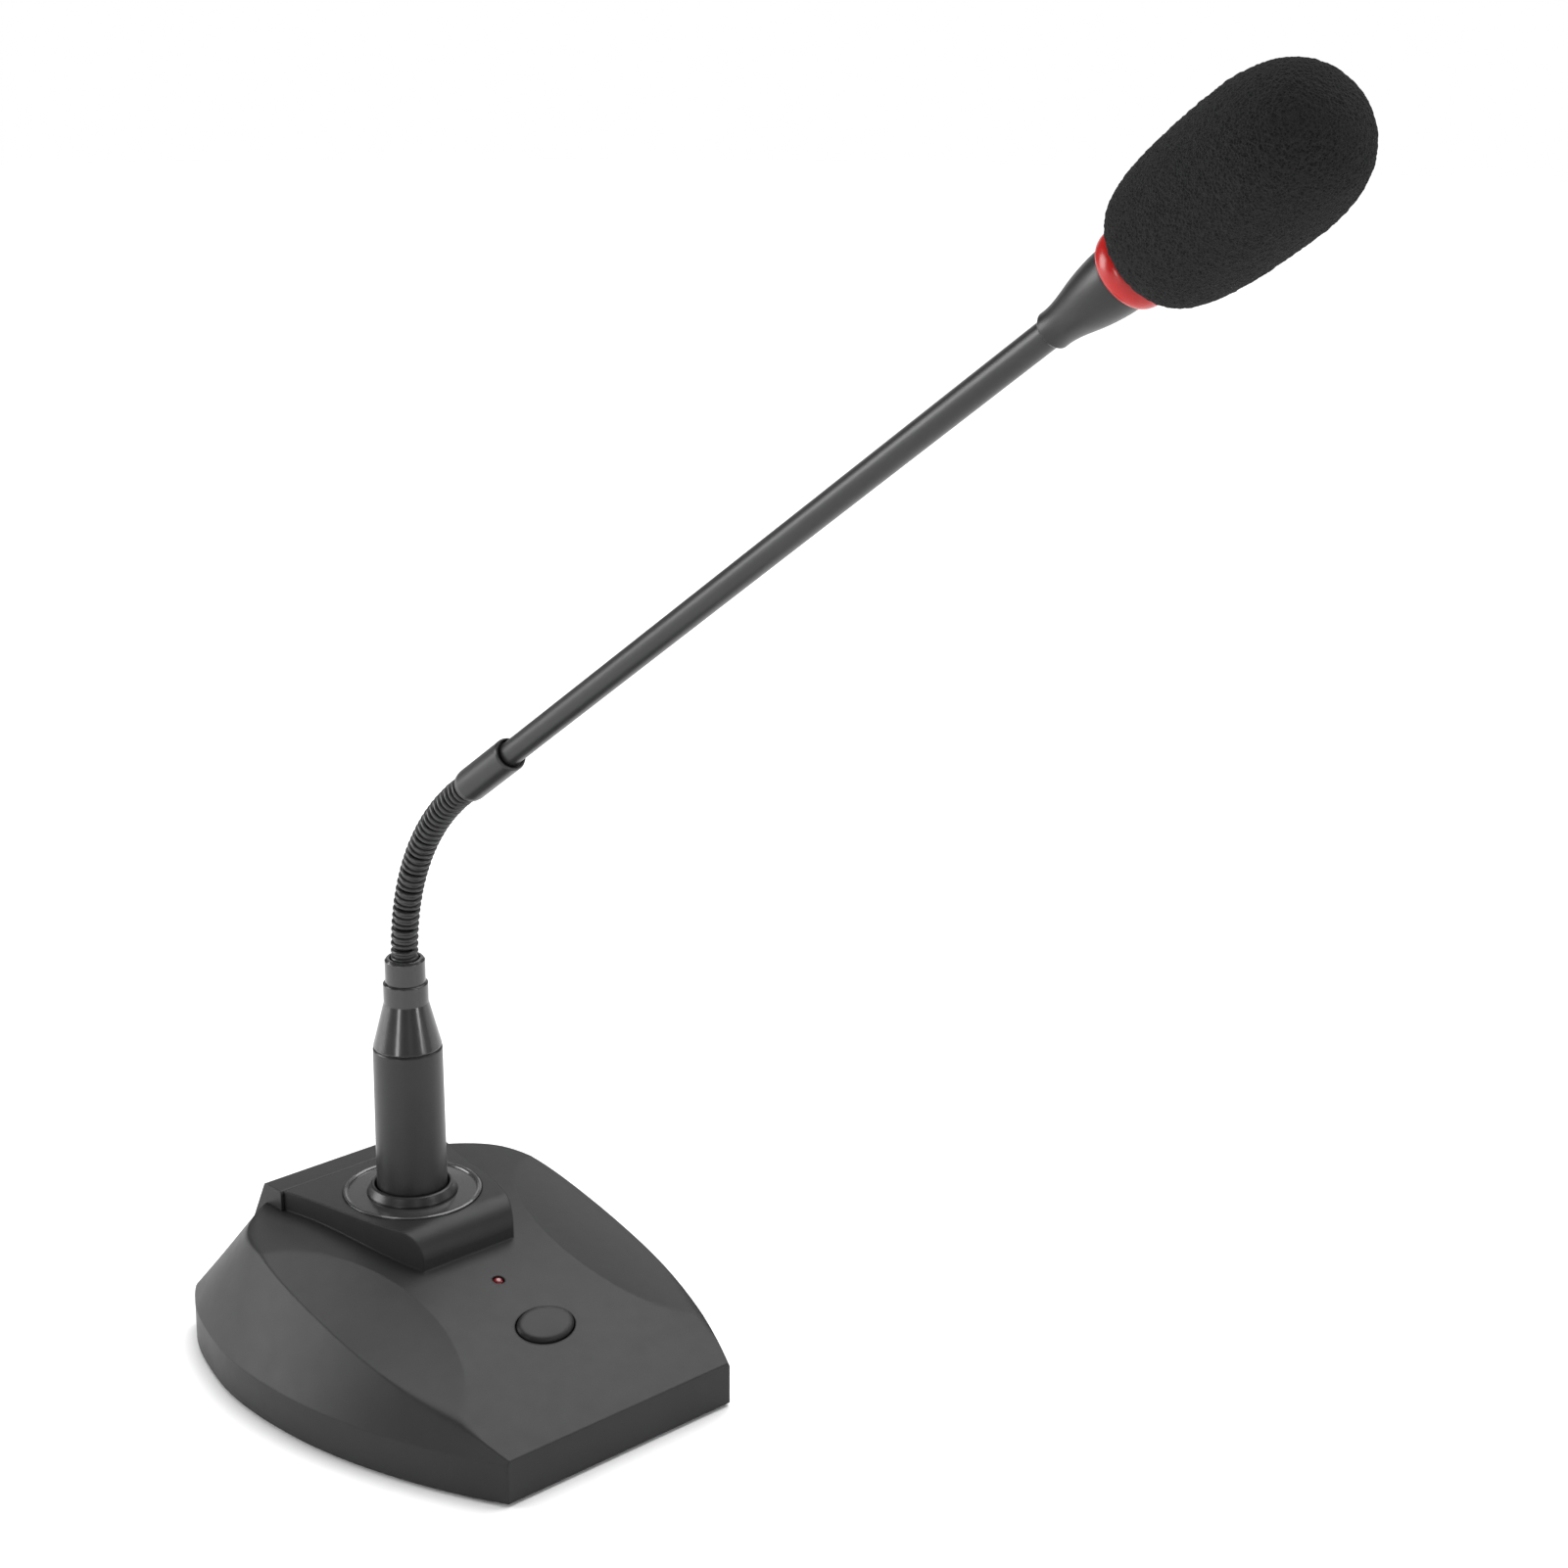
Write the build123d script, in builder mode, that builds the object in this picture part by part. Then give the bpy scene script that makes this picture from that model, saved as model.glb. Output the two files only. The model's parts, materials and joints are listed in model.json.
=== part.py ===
"""Gooseneck podium microphone: weighted desk base with a power button, plug-in
gooseneck arm, lit ring and foam windscreen.

Millimetres. +Z is up, the table is z = 0, the origin lies under the plug axis,
X = 0 is the plane of symmetry and -Y faces the talker.
"""
from build123d import *
import os
from math import cos, radians, sin, sqrt, tan

os.makedirs("parts", exist_ok=True)

# ---------------------------------------------------------------- driving dimensions
# Base housing
SKIRT_H = 11.3            # height of the upright wall round the base
SHELL_LIFT = 1.0          # the housing stops this far above the table
FRONT_Y = -84.3
REAR_Y = 45.0
PANEL_R = 251.0           # the top panel is part of a cylinder lying along X
PANEL_Y, PANEL_Z = 23.4, -214.4
PANEL_WALL = 5.0
PLAN_CENTRE_Y = -20.0     # inner outlines are the outer one shrunk towards here
CAVITY_SCALE = 0.95
PLATE_SCALE = 0.945
SOLE_SCALE = 0.93
SCOOP_R = 100.0           # shallow scoop at each side of the top panel
SCOOP_X = 48.0
SCOOP_REAR = (3.3, 35.3)  # (y, z) where the scoop's edge leaves the panel
SCOOP_FRONT = (-68.2, 18.6)
# Half outline of the skirt: x, y, and how far each point leans in x and y
# for every millimetre of height above the skirt.
OUTLINE = (
    (35.5, FRONT_Y, -0.45, 0.0),
    (44.7, -65.4, -0.48, 0.0),
    (50.0, -50.4, -0.51, 0.0),
    (54.1, -33.2, -0.54, 0.0),
    (56.1, -10.0, -0.50, 0.0),
    (54.5, 8.8, -0.45, -0.04),
    (51.8, 19.3, -0.41, -0.21),
    (42.0, 41.0, -0.34, -0.67),
    (38.0, REAR_Y, -0.56, -0.62),
)
# Pedestal that carries the microphone socket
PEDESTAL_TOP = 42.0
PEDESTAL_BOTTOM = 24.0
PEDESTAL_FRONT = -24.0
PEDESTAL_REAR = 21.6
PEDESTAL_NOSE_R = 7.0
PEDESTAL_SIDE = ((25.5, PEDESTAL_REAR), (21.6, 4.0), (18.6, -12.0), (14.4, PEDESTAL_FRONT))
PEDESTAL_WALL = 3.0
# Rear connector cover
REAR_HALF = 26.3
REAR_TOP_Y = 29.3
REAR_FOOT = (44.0, 12.6)
REAR_WALL = 2.5
CONNECTOR_R, CONNECTOR_BORE_R, CONNECTOR_DEPTH = 11.0, 8.3, 17.0
CONNECTOR_FLANGE_R, CONNECTOR_FLANGE_T = 13.5, 1.6
CONNECTOR_SCREWS = ((-17.0, 0.0), (17.0, 0.0))
FIT = 0.1                 # clearance between fixed mating faces
# Bottom, weight and screws
SOLE_T = 2.0
PLATE_T = 1.5
PLATE_TOP = SOLE_T + PLATE_T
BALLAST_TOP = 10.5
BALLAST_X, BALLAST_FRONT, BALLAST_REAR = 33.0, -42.0, 12.0
BASE_SCREWS = ((-30.0, -66.0), (30.0, -66.0), (-38.0, 10.0), (38.0, 10.0))
BALLAST_SCREWS = ((0.0, -34.0), (0.0, 4.0))
BOSS_R = 3.6
M3_R = 1.45
M3_HOLE_R = 1.5
M3_HEAD_R, M3_HEAD_T = 2.8, 1.5
POST_R, POST_SCREW_R = 2.6, 1.1   # posts that hold the circuit board
LEAD_R = 0.5              # insulated wires inside the base
# Power button, measured square to the panel from its surface
BUTTON_Y = -54.7
BUTTON_A, BUTTON_B = 8.0, 5.9      # half length and half width of the oval cap
BUTTON_GAP = 0.4
BUTTON_PROUD = 1.1
BUTTON_TRAVEL = 1.5
BUTTON_FLANGE = 1.4
FLANGE_TOP = -PANEL_WALL - 0.4     # the cap's flange stays just under the panel
FLANGE_T = 1.0
BOARD_DEPTH = 14.0                 # panel surface to the top of the circuit board
BOARD_T = 1.6
BOARD_X, BOARD_LOW, BOARD_HIGH = 22.0, -12.0, 30.0
BOARD_POSTS = ((-18.5, -8.0), (18.5, -8.0), (-18.5, 26.0), (18.5, 26.0))
SWITCH_SIZE, SWITCH_H = 8.5, 5.6
STEM_SIZE = 3.2
LED_Y = 19.5                       # up the panel from the button
LED_R = 1.5
# Socket in the base and plug on the arm (three-pin audio connector)
BEZEL_R, BEZEL_T = 18.0, 1.0
COLLAR_R, COLLAR_TOP_R, COLLAR_TOP = 11.7, 10.8, 44.5
SOCKET_R = 9.6
SOCKET_WALL = 1.9
SOCKET_FLOOR = 21.0
SOCKET_FLOOR_T = 3.0
INSERT_R, INSERT_TOP = 7.6, 39.5
PIN_R, PIN_CIRCLE = 1.2, 5.0
PIN_ANGLES = (270.0, 25.0, 155.0)
CONTACT_R = 2.0
BARREL_R, BARREL_TOP_R = 9.3, 8.95
BARREL_BOTTOM, BARREL_TOP = 27.5, 82.7
BARREL_BORE_R = 8.1
PLUG_INSERT_Z, PLUG_INSERT_T = 40.2, 6.0
CONE_TOP, CONE_R = 95.0, 5.8
NIPPLE_TOP = 100.4
FERRULE_R, FERRULE_TOP = 5.2, 107.0
# Gooseneck
NECK_R = 62.0             # radius of its centreline at rest
NECK_TURN = 54.0          # degrees from upright to the arm
JOINTS = 10
CORE_R = 2.95
RIB_R = 0.6               # the ribs stand on the core's surface
BALL_R = 2.2
CUP_R = 2.3
CORE_GAP = 0.9            # from a pivot down to the flat end of the core below it
CUP_LIP = 0.3             # from a pivot up to the lip of the cup above it
HOSE_BORE_R = 1.3
CABLE_R = 1.0
# Arm and head, measured along the arm from the gooseneck's upper end
SLEEVE_R, SLEEVE_START, SLEEVE_END = 4.2, 3.0, 25.0
TUBE_R, TUBE_BORE_R = 3.0, 2.3
FLARE_START = 229.5       # flared neck under the ring
RING_START, RING_END = 250.9, 255.9
RING_R = 8.15
HEAD_R = 6.0
HEAD_END, GRILLE_END = 277.0, 289.0
FOAM_START, FOAM_END = 256.5, 308.3
FOAM_R, FOAM_WIDEST = 15.35, 288.2
FOAM_CROWN = FOAM_END - FOAM_WIDEST
FOAM_BORE_R, FOAM_BORE_END = 6.4, 290.0


# ---------------------------------------------------------------- shared helpers
def save(name, piece):
    """Label a finished piece and write it to its own file."""
    piece.label = name
    export_step(piece, f"parts/{name}.step")


def axial_plane(origin, direction):
    """Sketch plane whose x is a radius and whose y runs along an axis in the X = 0 plane."""
    return Plane(origin=origin, x_dir=(1, 0, 0), z_dir=Vector(1, 0, 0).cross(Vector(direction)))


def turned(profile, origin=(0, 0, 0), direction=(0, 0, 1)):
    """Solid of revolution from (radius, height) corners about an axis."""
    with BuildPart() as piece:
        with BuildSketch(axial_plane(origin, direction)):
            with BuildLine():
                Polyline(*profile, close=True)
            make_face()
        revolve(axis=Axis(origin, direction))
    return piece.part


def base_section(z, scale=1.0):
    """Face of the base's plan at height z, shrunk towards the plan centre by scale."""
    rise = max(z - SKIRT_H, 0.0)
    side = [(x + lean_x * rise, y + lean_y * rise) for x, y, lean_x, lean_y in OUTLINE]
    side = [(x * scale, PLAN_CENTRE_Y + (y - PLAN_CENTRE_Y) * scale) for x, y in side]
    mirrored = [(-x, y) for x, y in side]
    with BuildSketch(Plane.XY.offset(z)) as plan:
        with BuildLine():
            Spline(*side, tangents=[(0.5, 0.85), (-1, 0)], tangent_scalars=[1, 0.6])
            Line(side[-1], mirrored[-1])
            Spline(*mirrored[::-1], tangents=[(-1, 0), (0.5, -0.85)], tangent_scalars=[0.6, 1])
            Line(mirrored[0], side[0])
        make_face()
    return plan.sketch


def base_body(bottom, scale, radius):
    """Skirt and leaning flanks, closed on top by the panel's cylinder of the given radius."""
    with BuildPart() as body:
        add(base_section(bottom, scale))
        extrude(amount=SKIRT_H - bottom)
        add(base_section(SKIRT_H, scale))
        add(base_section(24.0, scale))
        add(base_section(38.0, scale))
        loft()
        with BuildSketch(Plane.YZ):
            with Locations((PANEL_Y, PANEL_Z)):
                Circle(radius)
        extrude(amount=80, both=True, mode=Mode.INTERSECT)
    return body.part


def panel_height(y):
    """Height of the top panel at y."""
    return PANEL_Z + sqrt(PANEL_R**2 - (y - PANEL_Y) ** 2)


# Plane lying on the panel under the power button, z square to the panel
button_centre = Vector(0, BUTTON_Y, panel_height(BUTTON_Y))
button_axis = Vector(0, BUTTON_Y - PANEL_Y, button_centre.Z - PANEL_Z).normalized()
button_plane = Plane(origin=button_centre, x_dir=(1, 0, 0), z_dir=button_axis)
board_plane = button_plane.offset(-BOARD_DEPTH)

# Plane lying on the sloping rear cover, z pointing out of it
rear_run = Vector(0, REAR_FOOT[0] - REAR_TOP_Y, REAR_FOOT[1] - PEDESTAL_TOP).normalized()
rear_axis = Vector(0, -rear_run.Z, rear_run.Y)
rear_centre = Vector(0, (REAR_TOP_Y + REAR_FOOT[0]) / 2, (PEDESTAL_TOP + REAR_FOOT[1]) / 2)
rear_plane = Plane(origin=rear_centre, x_dir=(-1, 0, 0), z_dir=rear_axis)


# ---------------------------------------------------------------- base housing
chord = Vector(0, SCOOP_FRONT[0] - SCOOP_REAR[0], SCOOP_FRONT[1] - SCOOP_REAR[1])
chord_up = Vector(0, chord.Z, -chord.Y).normalized()
scoop_plane = Plane(
    origin=Vector(0, *SCOOP_REAR) + chord_up * SCOOP_R - chord.normalized() * 40,
    x_dir=(1, 0, 0),
    z_dir=chord,
)

with BuildPart() as hollow_body:
    add(base_body(SHELL_LIFT, 1.0, PANEL_R))
    # shallow scoops at the panel's side edges
    with BuildSketch(scoop_plane):
        with Locations((-SCOOP_X, 0), (SCOOP_X, 0)):
            Circle(SCOOP_R)
    extrude(amount=160, mode=Mode.SUBTRACT)
    add(base_body(SHELL_LIFT, CAVITY_SCALE, PANEL_R - PANEL_WALL), mode=Mode.SUBTRACT)

with BuildPart() as pedestal:
    with BuildSketch(Plane.XY.offset(PEDESTAL_BOTTOM)):
        with BuildLine():
            Spline(*PEDESTAL_SIDE)
            Line(PEDESTAL_SIDE[-1], (-PEDESTAL_SIDE[-1][0], PEDESTAL_FRONT))
            Spline(*[(-x, y) for x, y in PEDESTAL_SIDE[::-1]])
            Line((-PEDESTAL_SIDE[0][0], PEDESTAL_REAR), PEDESTAL_SIDE[0])
        make_face()
    extrude(amount=PEDESTAL_TOP - PEDESTAL_BOTTOM)
    nose = pedestal.faces().sort_by(Axis.Z)[-1].edges().sort_by(Axis.Y)[0]
    fillet(nose, PEDESTAL_NOSE_R)

with BuildPart() as pedestal_room:
    with BuildSketch(Plane.XY.offset(PEDESTAL_BOTTOM - 1)):
        Rectangle(
            2 * (PEDESTAL_SIDE[2][0] - PEDESTAL_WALL),
            PEDESTAL_REAR - PEDESTAL_FRONT,
            align=(Align.CENTER, Align.MIN),
        )
    extrude(amount=PEDESTAL_TOP - PEDESTAL_WALL - PEDESTAL_BOTTOM + 1)
room = pedestal_room.part.moved(Location((0, PEDESTAL_FRONT + 10, 0)))

with BuildPart() as bosses:
    with BuildSketch(Plane.XY.offset(PLATE_TOP)):
        with Locations(*BASE_SCREWS):
            Circle(BOSS_R)
    extrude(amount=40)
    with BuildSketch(board_plane):
        with Locations(*BOARD_POSTS):
            Circle(POST_R)
    extrude(amount=12)
    add(base_body(SHELL_LIFT, CAVITY_SCALE, PANEL_R - PANEL_WALL + 1.5), mode=Mode.INTERSECT)

with BuildPart() as base_shell:
    add(hollow_body.part)
    add(pedestal.part)
    add(room, mode=Mode.SUBTRACT)
    add(bosses.part)
    # power button: oval hole, and the light's hole above it
    with BuildSketch(button_plane.offset(6)):
        Ellipse(BUTTON_A + BUTTON_GAP, BUTTON_B + BUTTON_GAP)
        with Locations((0, LED_Y)):
            Circle(LED_R + 0.1)
    extrude(amount=-16, mode=Mode.SUBTRACT)
    # bezel seat and socket bore in the pedestal
    with BuildSketch(Plane.XY.offset(PEDESTAL_TOP - BEZEL_T)):
        Circle(BEZEL_R + FIT)
    extrude(amount=BEZEL_T + 1, mode=Mode.SUBTRACT)
    with BuildSketch(Plane.XY.offset(SOCKET_FLOOR)):
        Circle(SOCKET_R + SOCKET_WALL + FIT)
    extrude(amount=PEDESTAL_TOP - SOCKET_FLOOR, mode=Mode.SUBTRACT)
    # opening for the rear cover
    with BuildSketch(Plane.XY.offset(REAR_FOOT[1] - FIT)):
        with Locations((0, PEDESTAL_REAR)):
            Rectangle(2 * (REAR_HALF + FIT), 40, align=(Align.CENTER, Align.MIN))
    extrude(amount=40, mode=Mode.SUBTRACT)
    # pilot holes for the base screws and the board screws
    with BuildSketch(Plane.XY.offset(PLATE_TOP - 1)):
        with Locations(*BASE_SCREWS):
            Circle(M3_HOLE_R)
    extrude(amount=8, mode=Mode.SUBTRACT)
    with BuildSketch(board_plane):
        with Locations(*BOARD_POSTS):
            Circle(POST_SCREW_R)
    extrude(amount=6, mode=Mode.SUBTRACT)
save("base_shell", base_shell.part)


# ---------------------------------------------------------------- rear cover and connector
with BuildPart() as rear_cover:
    with BuildSketch(Plane.YZ):
        with BuildLine():
            Polyline(
                (PEDESTAL_REAR + FIT, PEDESTAL_TOP),
                (REAR_TOP_Y, PEDESTAL_TOP),
                REAR_FOOT,
                (PEDESTAL_REAR + FIT, REAR_FOOT[1]),
                close=True,
            )
        make_face()
    extrude(amount=REAR_HALF, both=True)
    with BuildSketch(Plane.YZ):
        with BuildLine():
            Polyline(
                (PEDESTAL_REAR, PEDESTAL_TOP - REAR_WALL),
                (REAR_TOP_Y - 1.6, PEDESTAL_TOP - REAR_WALL),
                (REAR_FOOT[0] - 2.9, REAR_FOOT[1] - 1),
                (PEDESTAL_REAR, REAR_FOOT[1] - 1),
                close=True,
            )
        make_face()
    extrude(amount=REAR_HALF - REAR_WALL, both=True, mode=Mode.SUBTRACT)
    fillet(rear_cover.faces().sort_by(Axis.Z)[-1].edges().filter_by(Axis.X), 0.8)
    with BuildSketch(rear_plane.offset(2)):
        Circle(CONNECTOR_R + FIT)
        with Locations(*CONNECTOR_SCREWS):
            Circle(1.2)
    extrude(amount=-8, mode=Mode.SUBTRACT)
save("rear_cover", rear_cover.part)

# male output socket: tube with a flange, insulating insert, three pins, two screws
connector_base = rear_plane.offset(-CONNECTOR_DEPTH)
with BuildPart() as output_shell:
    with BuildSketch(connector_base):
        Circle(CONNECTOR_R)
    extrude(amount=CONNECTOR_DEPTH)
    with BuildSketch(rear_plane):
        Circle(CONNECTOR_FLANGE_R)
        with Locations(*CONNECTOR_SCREWS):
            Circle(3.6)
        make_hull()
        with Locations(*CONNECTOR_SCREWS):
            Circle(1.5, mode=Mode.SUBTRACT)
    extrude(amount=CONNECTOR_FLANGE_T)
    with BuildSketch(connector_base):
        Circle(CONNECTOR_BORE_R)
    extrude(amount=CONNECTOR_DEPTH + CONNECTOR_FLANGE_T, mode=Mode.SUBTRACT)
save("output_shell", output_shell.part)

pin_places = [(PIN_CIRCLE * cos(radians(a)), PIN_CIRCLE * sin(radians(a))) for a in PIN_ANGLES]
with BuildPart() as output_insert:
    with BuildSketch(connector_base):
        Circle(CONNECTOR_BORE_R)
        with Locations(*pin_places):
            Circle(PIN_R, mode=Mode.SUBTRACT)
    extrude(amount=4)
save("output_insert", output_insert.part)

with BuildPart() as output_pins:
    with BuildSketch(connector_base.offset(-1.5)):
        with Locations(*pin_places):
            Circle(PIN_R)
    extrude(amount=15.5)
    chamfer(output_pins.faces().sort_by(Axis((0, 0, 0), rear_axis))[-3:].edges(), 0.4)
save("output_pins", output_pins.part)

with BuildPart() as output_screws:
    with BuildSketch(rear_plane.offset(CONNECTOR_FLANGE_T)):
        with Locations(*CONNECTOR_SCREWS):
            Circle(2.4)
    extrude(amount=1.2)
    with BuildSketch(rear_plane.offset(CONNECTOR_FLANGE_T)):
        with Locations(*CONNECTOR_SCREWS):
            Circle(1.15)
    extrude(amount=-7)
save("output_screws", output_screws.part)

# ---------------------------------------------------------------- bottom
with BuildPart() as bottom_plate:
    with BuildSketch(Plane.XY.offset(SOLE_T)):
        add(base_section(SOLE_T, PLATE_SCALE))
        with Locations(*BASE_SCREWS, *BALLAST_SCREWS):
            Circle(M3_HOLE_R, mode=Mode.SUBTRACT)
    extrude(amount=PLATE_T)
save("bottom_plate", bottom_plate.part)

with BuildPart() as rubber_sole:
    with BuildSketch(Plane.XY):
        add(base_section(0, SOLE_SCALE))
        with Locations(*BASE_SCREWS):
            Circle(M3_HEAD_R + 0.8, mode=Mode.SUBTRACT)
    extrude(amount=SOLE_T)
save("rubber_sole", rubber_sole.part)

with BuildPart() as ballast_weight:
    with BuildSketch(Plane.XY.offset(PLATE_TOP)):
        with Locations((0, BALLAST_FRONT)):
            Rectangle(
                2 * BALLAST_X, BALLAST_REAR - BALLAST_FRONT, align=(Align.CENTER, Align.MIN)
            )
    extrude(amount=BALLAST_TOP - PLATE_TOP)
    fillet(ballast_weight.edges().filter_by(Axis.Z), 4)
    chamfer(ballast_weight.faces().sort_by(Axis.Z)[-1].edges(), 0.8)
    with Locations(*[(x, y, BALLAST_TOP) for x, y in BALLAST_SCREWS]):
        CounterBoreHole(M3_HOLE_R, M3_HEAD_R + 0.2, 2.5)
save("ballast_weight", ballast_weight.part)


def screws(places, head_plane, shank, shank_r=M3_R, head_r=M3_HEAD_R, head_t=M3_HEAD_T):
    """Pan-head screws whose heads lie above head_plane and shanks run below it."""
    with BuildPart() as group:
        with BuildSketch(head_plane):
            with Locations(*places):
                Circle(head_r)
        extrude(amount=head_t)
        tops = group.edges().group_by(Axis(head_plane.origin, head_plane.z_dir))[-1]
        fillet(tops, 0.5)
        with BuildSketch(head_plane):
            with Locations(*places):
                Circle(shank_r)
        extrude(amount=-shank)
    return group.part


# plane facing down, for screws driven up from below
down_plane = Plane(origin=(0, 0, SOLE_T), x_dir=(1, 0, 0), z_dir=(0, 0, -1))
save("base_screws", screws([(x, -y) for x, y in BASE_SCREWS], down_plane, shank=8))
save(
    "ballast_screws",
    screws(BALLAST_SCREWS, Plane.XY.offset(BALLAST_TOP - 2.5), shank=BALLAST_TOP - 4.7),
)

# ---------------------------------------------------------------- circuit board, switch, light
with BuildPart() as circuit_board:
    with BuildSketch(board_plane):
        with Locations((0, (BOARD_LOW + BOARD_HIGH) / 2)):
            Rectangle(2 * BOARD_X, BOARD_HIGH - BOARD_LOW)
        with Locations(*BOARD_POSTS):
            Circle(POST_SCREW_R + 0.2, mode=Mode.SUBTRACT)
    extrude(amount=-BOARD_T)
save("circuit_board", circuit_board.part)

under_board = Plane(
    origin=board_plane.offset(-BOARD_T).origin, x_dir=(1, 0, 0), z_dir=-button_axis
)
save(
    "board_screws",
    screws(
        [(x, -y) for x, y in BOARD_POSTS], under_board,
        shank=6.5, shank_r=POST_SCREW_R - 0.05, head_r=2.0, head_t=1.4,
    ),
)

with BuildPart() as power_switch:
    with BuildSketch(board_plane):
        Rectangle(SWITCH_SIZE, SWITCH_SIZE)
    extrude(amount=SWITCH_H)
    with BuildSketch(board_plane.offset(1.5)):
        Rectangle(STEM_SIZE + 0.4, STEM_SIZE + 0.4)
    extrude(amount=SWITCH_H, mode=Mode.SUBTRACT)
save("power_switch", power_switch.part)

with BuildPart() as power_button:
    with BuildSketch(button_plane.offset(FLANGE_TOP - FLANGE_T)):
        Ellipse(BUTTON_A + BUTTON_FLANGE, BUTTON_B + BUTTON_FLANGE)
    extrude(amount=FLANGE_T)
    with BuildSketch(button_plane.offset(FLANGE_TOP)):
        Ellipse(BUTTON_A, BUTTON_B)
    extrude(amount=BUTTON_PROUD - FLANGE_TOP)
    fillet(power_button.edges().group_by(Axis(button_centre, button_axis))[-1], 1.0)
save("power_button", power_button.part)

stem_top = FLANGE_TOP - FLANGE_T
stem_bottom = -BOARD_DEPTH + 1.5 + BUTTON_TRAVEL + 0.3
with BuildPart() as switch_stem:
    with BuildSketch(button_plane.offset(stem_bottom)):
        Rectangle(STEM_SIZE, STEM_SIZE)
    extrude(amount=stem_top - stem_bottom)
save("switch_stem", switch_stem.part)

with BuildPart() as led_lens:
    with BuildSketch(button_plane.offset(-BOARD_DEPTH + 8)):
        with Locations((0, LED_Y)):
            Circle(LED_R)
    extrude(amount=BOARD_DEPTH - 8.6)
    fillet(led_lens.edges().group_by(Axis(button_centre, button_axis))[-1], LED_R - 0.15)
save("led_lens", led_lens.part)

with BuildPart() as led_leads:
    with BuildSketch(board_plane):
        with Locations((-0.9, LED_Y), (0.9, LED_Y)):
            Rectangle(0.5, 0.5)
    extrude(amount=8)
save("led_leads", led_leads.part)

# ---------------------------------------------------------------- microphone socket
bezel_bottom = PEDESTAL_TOP - BEZEL_T
bezel_profile = (
    (COLLAR_R + 0.05, bezel_bottom), (BEZEL_R, bezel_bottom), (BEZEL_R, PEDESTAL_TOP + 0.3),
    (BEZEL_R - 0.5, PEDESTAL_TOP + 0.5), (BEZEL_R - 1.1, PEDESTAL_TOP + 0.3),
    (BEZEL_R - 1.3, PEDESTAL_TOP - 0.1), (COLLAR_R + 0.05, PEDESTAL_TOP - 0.1),
)
save("socket_bezel", turned(bezel_profile))

collar_profile = (
    (SOCKET_R, bezel_bottom), (COLLAR_R, bezel_bottom), (COLLAR_R, PEDESTAL_TOP + 0.4),
    (COLLAR_TOP_R + 0.2, COLLAR_TOP - 0.8), (COLLAR_TOP_R - 0.1, COLLAR_TOP - 0.2),
    (COLLAR_TOP_R - 0.5, COLLAR_TOP), (SOCKET_R + 0.3, COLLAR_TOP), (SOCKET_R, COLLAR_TOP - 0.4),
)
save("socket_collar", turned(collar_profile))

socket_profile = (
    (0, SOCKET_FLOOR), (SOCKET_R + SOCKET_WALL, SOCKET_FLOOR),
    (SOCKET_R + SOCKET_WALL, bezel_bottom), (SOCKET_R, bezel_bottom),
    (SOCKET_R, SOCKET_FLOOR + SOCKET_FLOOR_T), (0, SOCKET_FLOOR + SOCKET_FLOOR_T),
)
with BuildPart() as socket_shell:
    add(turned(socket_profile))
    with BuildSketch(Plane.XY.offset(SOCKET_FLOOR - 1)):
        with Locations(*pin_places):
            Circle(0.9)
    extrude(amount=SOCKET_FLOOR_T + 2, mode=Mode.SUBTRACT)
save("socket_shell", socket_shell.part)

insert_bottom = SOCKET_FLOOR + SOCKET_FLOOR_T
with BuildPart() as socket_insert:
    with BuildSketch(Plane.XY.offset(insert_bottom)):
        Circle(INSERT_R)
        with Locations(*pin_places):
            Circle(CONTACT_R, mode=Mode.SUBTRACT)
    extrude(amount=INSERT_TOP - insert_bottom)
save("socket_insert", socket_insert.part)

with BuildPart() as socket_contacts:
    with BuildSketch(Plane.XY.offset(insert_bottom)):
        with Locations(*pin_places):
            Circle(CONTACT_R)
    extrude(amount=INSERT_TOP - insert_bottom - 0.5)
    with BuildSketch(Plane.XY.offset(insert_bottom + 2)):
        with Locations(*pin_places):
            Circle(PIN_R + 0.1)
    extrude(amount=20, mode=Mode.SUBTRACT)
    with BuildSketch(Plane.XY.offset(SOCKET_FLOOR - 3)):
        with Locations(*pin_places):
            Circle(0.9)
    extrude(amount=SOCKET_FLOOR_T + 3)
save("socket_contacts", socket_contacts.part)


# ---------------------------------------------------------------- leads inside the base
def lead(route, radius):
    """Insulated wire along a route, with each corner as large as its runs allow."""
    points = [Vector(*point) for point in route]
    radii = []
    for before, corner, after in zip(points, points[1:], points[2:]):
        turn = (corner - before).get_angle(after - corner)
        run = min((corner - before).length, (after - corner).length)
        radii.append(0.45 * run / tan(radians(turn) / 2))
    with BuildPart() as wire:
        with BuildLine() as path:
            FilletPolyline(*route, radius=radii)
        start = Plane(origin=points[0], z_dir=points[1] - points[0])
        with BuildSketch(start):
            Circle(radius)
        sweep(path=path.wires()[0])
    length = path.wires()[0].length
    print(f"lead {length:.1f} mm, corner radii", [round(r, 1) for r in radii])
    return wire.part


board_edge = board_plane.offset(-BOARD_T / 2).from_local_coords(Vector(0, BOARD_HIGH + 0.6, 0))
with BuildPart() as socket_leads:
    for x, y in pin_places:
        add(
            lead(
                (
                    (x, y, SOCKET_FLOOR - 3),
                    (x, y, SOCKET_FLOOR - 6),
                    (x * 0.8, -13, SOCKET_FLOOR - 6.5),
                    (x * 0.6, board_edge.Y, board_edge.Z),
                ),
                LEAD_R,
            )
        )
save("socket_leads", socket_leads.part)

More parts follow.
